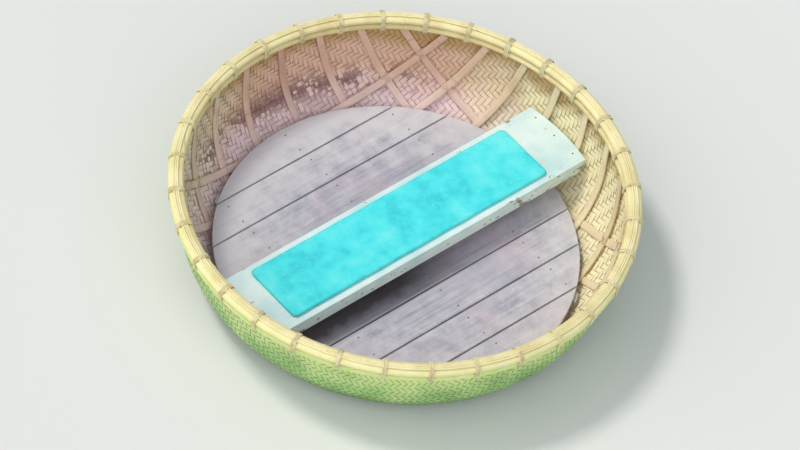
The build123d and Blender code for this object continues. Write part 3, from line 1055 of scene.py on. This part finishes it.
def makeFloor():
    boards = boardMaterial("weatheredBoard", timber["boards"])
    bearers = boardMaterial("weatheredBearer", timber["bearers"], grainAlong=(60.0, 1.4, 60.0))
    for name, start, material, ease, first in (
            ("floorBoard", "floor_board", boards, timber["boardEase"], 1),
            ("floorBearer", "floor_bearer", bearers, timber["bearerEase"], 21)):
        for at in range(1, 1 + sum(node.startswith(start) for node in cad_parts)):
            easedCopy(f"{name}{at}", f"{start}_{at}", "floor_timber", material, ease, first + at - 1.0)


def makeThwart():
    paint = thwartPaintMaterial()
    for name, node in (("thwartPlank", "thwart_plank"), ("thwartApronFront", "thwart_apron_front"),
                       ("thwartApronBack", "thwart_apron_back"), ("thwartLedgerLeft", "thwart_ledger_left"),
                       ("thwartLedgerRight", "thwart_ledger_right")):
        easedCopy(name, node, "thwart_paint", paint, timber["thwartEase"])


pad = {
    "round": 0.007, "corner": 0.025, "waist": 0.0012, "waists": 3, "columns": 150, "rows": 30,
    "bunched": 0.35,  # how much closer together its points run towards the ends
    "dents": 14, "dentX": (-0.7, 0.7), "dentY": (-0.08, 0.08), "dentSize": (0.05, 0.13),
    "dentDepth": (0.4, 1.0), "depthMost": 1.6, "depthUnit": 0.0012,
}


def makePad():
    low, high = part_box("thwart_pad")
    centre, half, thick = (low + high) / 2, (high - low) / 2, high.z - low.z
    dents = [[random.uniform(*pad[of]) for of in ("dentX", "dentY", "dentSize", "dentDepth")]
             for _ in range(pad["dents"])]

    def spread(steps):
        evens = [2 * step / steps - 1 for step in range(steps + 1)]
        return [sin(pi / 2 * even) * pad["bunched"] + even * (1 - pad["bunched"]) for even in evens]

    def spot(u, v, top):
        x, y = u * half.x, v * half.y
        # corners are drawn in to the pad's round corners
        overX, overY = abs(x) - (half.x - pad["corner"]), abs(y) - (half.y - pad["corner"])
        inner = min(half.x - abs(x), half.y - abs(y))
        if overX > 0 and overY > 0:
            pull = max(overX, overY) / hypot(overX, overY)
            x = copysign(half.x - pad["corner"] + overX * pull, x)
            y = copysign(half.y - pad["corner"] + overY * pull, y)
        crown = sqrt(max(1 - (1 - min(inner / pad["round"], 1)) ** 2, 0))
        sink = sum(depth * exp(-hypot(x - dentX, y - dentY) ** 2 / size ** 2)
                   for dentX, dentY, size, depth in dents)
        sink = pad["depthUnit"] * min(sink, pad["depthMost"]) * crown
        height = thick / 2 + (thick / 2 - sink) * crown if top else thick / 2 * (1 - crown)
        waist = 1 - pad["waist"] * sin(pi * (u + 1) * pad["waists"]) ** 2 / half.y
        return Vector((centre.x + x, centre.y + y * waist, low.z + height))

    columns, rows = spread(pad["columns"]), spread(pad["rows"])
    points = [spot(u, v, top) for top in (True, False) for u in columns for v in rows]
    under = len(points) // 2
    quads = gridFaces(len(columns), len(rows))
    faces = [face for quad in quads for face in (quad, tuple(under + at for at in reversed(quad)))]
    piece = newObject("thwartPad", points, faces)
    turnOutwards(piece, merge=0.00005)
    finished(piece, "foam_pad", "thwart_pad", material=padMaterial())


# Nail and screw heads, set by one tree on points that carry their facing

nails = {
    "diameter": 0.009, "height": 0.0016, "fromEdge": 0.035, "inFromRim": 0.03, "jitter": 0.004,
    "apronSpacing": 0.26, "apronEnd": 0.06, "apronTop": 0.014, "ledgerParts": (0.12, 0.5, 0.88),
}


def headTree():
    tree, add, given = startTree("nailHeads", "diameter height", material="Material")
    half = add("MULTIPLY", given["diameter"], 0.5)
    size = add("CombineXYZ", half, half, given["height"])
    dome = add("Transform", add("MeshUVSphere", 10, 6, 1.0), Scale=size)
    facing = add("InputNamedAttribute", "facing", data_type="FLOAT_VECTOR")
    rotation = add("AlignRotationToVector", Vector=facing, axis="Z")
    heads = add("InstanceOnPoints", given["Geometry"], Instance=dome, Rotation=rotation)
    endTree(add, given, add("RealizeInstances", heads))
    return tree


def makeNails():
    points, facings, upwards = [], [], Vector((0, 0, 1))
    nodes = sorted(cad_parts)
    bearers = [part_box(node) for node in nodes if node.startswith("floor_bearer")]
    boards = [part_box(node) for node in nodes if node.startswith("floor_board")]
    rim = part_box("floor_board_5")[1].x - nails["inFromRim"]
    for low, high in boards:
        reach = max(abs(low.x), abs(high.x)) - nails["inFromRim"]
        for bearerLow, bearerHigh in bearers:
            x = (bearerLow.x + bearerHigh.x) / 2
            for y in (low.y + nails["fromEdge"], high.y - nails["fromEdge"]):
                if abs(x) <= reach and hypot(x, y) <= rim and bearerLow.y < y < bearerHigh.y:
                    askew = [random.uniform(-nails["jitter"], nails["jitter"]) for _ in range(2)]
                    points.append(Vector((x + askew[0], y + askew[1], high.z)))
                    facings.append(upwards)
    for node, side in (("thwart_apron_front", -1), ("thwart_apron_back", 1)):
        low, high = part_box(node)
        first, last = low.x + nails["apronEnd"], high.x - nails["apronEnd"]
        count = int((high.x - low.x) / nails["apronSpacing"])
        for number in range(count + 1):
            x = first + (last - first) * number / count
            points.append(Vector((x, low.y if side < 0 else high.y, high.z - nails["apronTop"])))
            facings.append(Vector((0, side, 0)))
    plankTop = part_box("thwart_plank")[1].z
    for node in ("thwart_ledger_left", "thwart_ledger_right"):
        low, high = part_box(node)
        for part in nails["ledgerParts"]:
            points.append(Vector(((low.x + high.x) / 2, low.y + (high.y - low.y) * part, plankTop)))
            facings.append(upwards)
    seeds, zinc = newObject("nailHeads", points, facing=facings), nailMaterial()
    heads = made(seeds, headTree(), material=zinc, **nails)
    finished(heads, "floor_timber")


makeFloor()
makeThwart()
makePad()
makeNails()
print("floor and thwart made")
